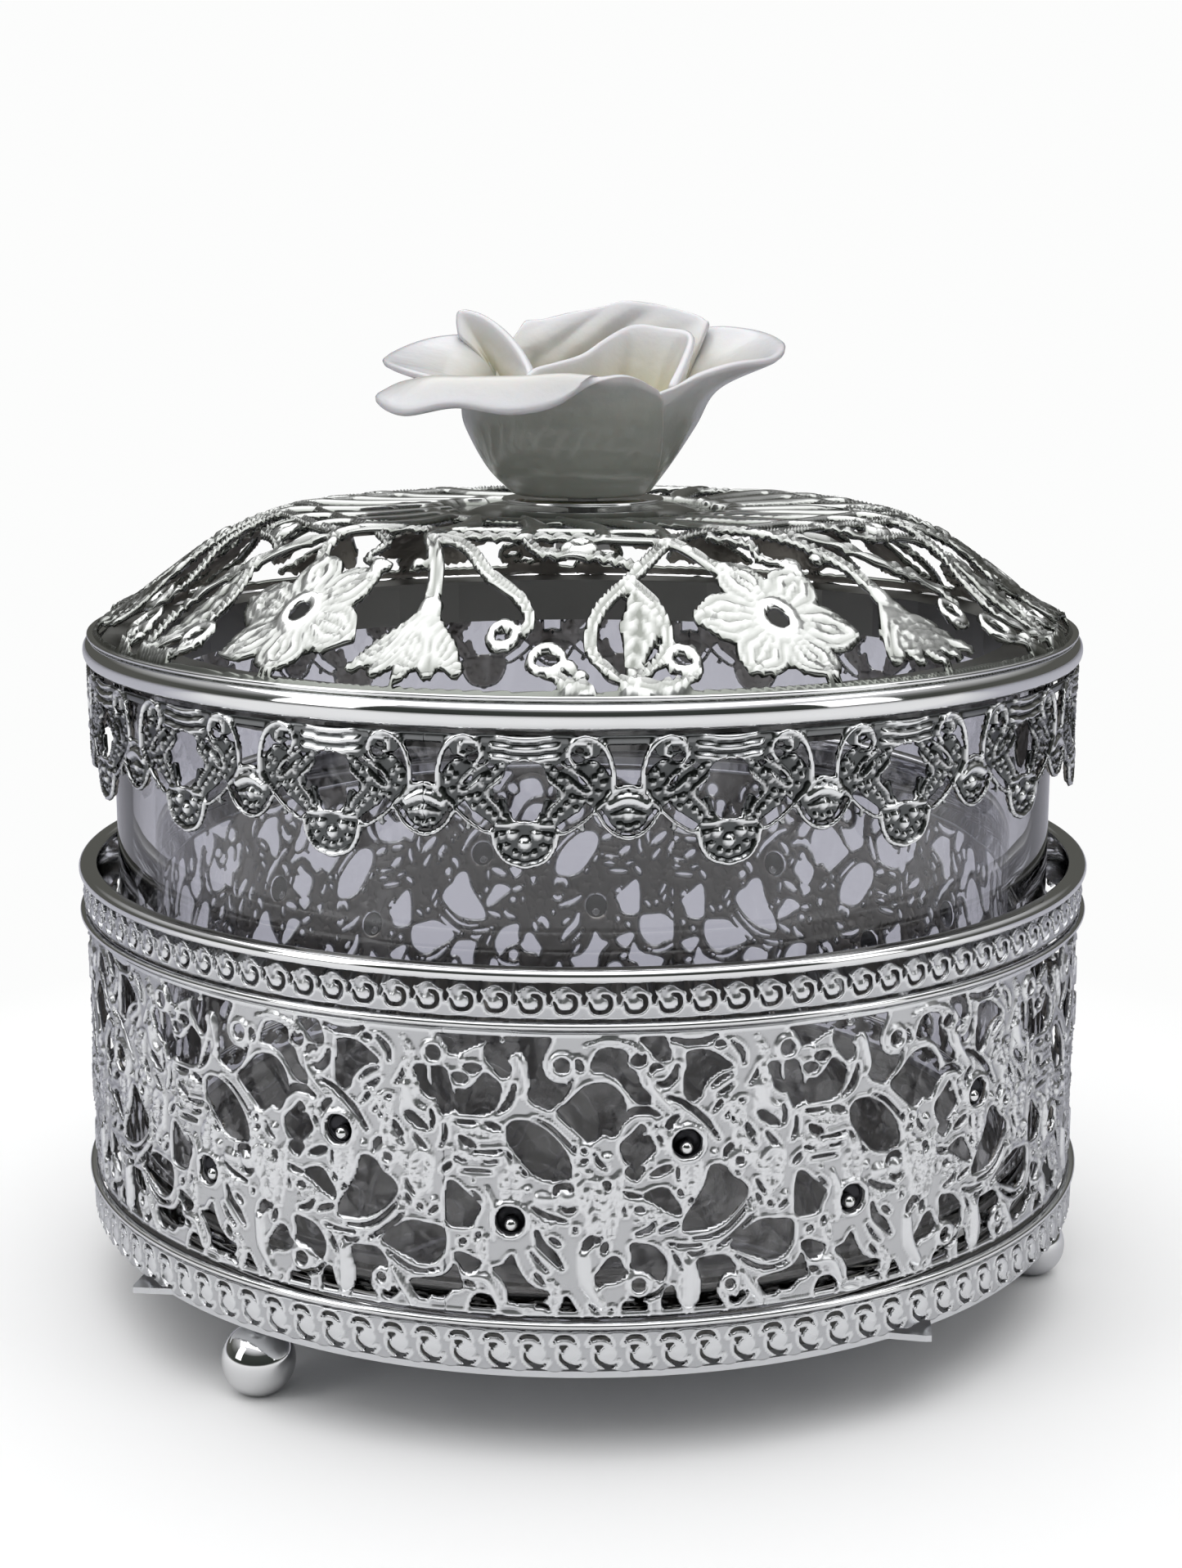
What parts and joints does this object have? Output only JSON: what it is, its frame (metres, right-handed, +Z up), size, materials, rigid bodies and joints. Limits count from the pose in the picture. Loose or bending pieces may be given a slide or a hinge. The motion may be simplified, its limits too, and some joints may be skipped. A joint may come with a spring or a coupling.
{
  "type": "vanity trinket box",
  "caption": "Round glass jar in a silver-plated openwork basket on ball feet, with an openwork domed lid, a hanging lace skirt and a porcelain rose knob.",
  "frame": {"origin": "on the floor, under the middle of the box", "axes": "+Z up, -Y towards the front, +X to the right of the front"},
  "size_m": [0.104, 0.104, 0.1008],
  "materials": {
    "plated_basket": "satin silver plate on stamped sheet",
    "plated_lid": "bright silver plate on stamped sheet",
    "polished_rim": "polished silver plate",
    "polished_ball": "mirror polished",
    "steel": "plain machined",
    "clear_glass": "clear, polished",
    "porcelain": "white glaze, creamy inside the rose"
  },
  "bodies": {
    "basket": {"basket_rim": "polished_rim", "basket_upper_border": "plated_basket", "basket_upper_wire": "polished_rim", "basket_wall": "plated_basket", "basket_lower_wire": "polished_rim", "basket_lower_border": "plated_basket", "floor_plate": "plated_basket", "foot_ball_1": "polished_ball", "foot_screw_1": "steel", "foot_ball_2": "polished_ball", "foot_screw_2": "steel", "foot_ball_3": "polished_ball", "foot_screw_3": "steel"},
    "jar": {"glass_jar": "clear_glass"},
    "lid": {"lid_rim": "polished_rim", "lid_seat_ring": "polished_rim", "lid_skirt": "plated_lid", "lid_dome": "plated_lid", "rose_stud": "steel", "rose_nut": "steel", "rose_washer": "steel", "rose_collar": "polished_rim", "rose_cup": "porcelain", "rose_petal_front": "porcelain", "rose_petal_right": "porcelain", "rose_petal_back_right": "porcelain", "rose_petal_back_left": "porcelain", "rose_petal_left": "porcelain", "rose_inner_petal_1": "porcelain", "rose_inner_petal_2": "porcelain", "rose_inner_petal_3": "porcelain", "rose_bud": "porcelain"}
  },
  "joints": [
    {"name": "jar_lift", "type": "slide", "parent": "basket", "child": "jar", "axis": [0, 0, 1], "range_m": [0, 0.045]},
    {"name": "lid_lift", "type": "slide", "parent": "jar", "child": "lid", "axis": [0, 0, 1], "range_m": [0, 0.03]}
  ]
}
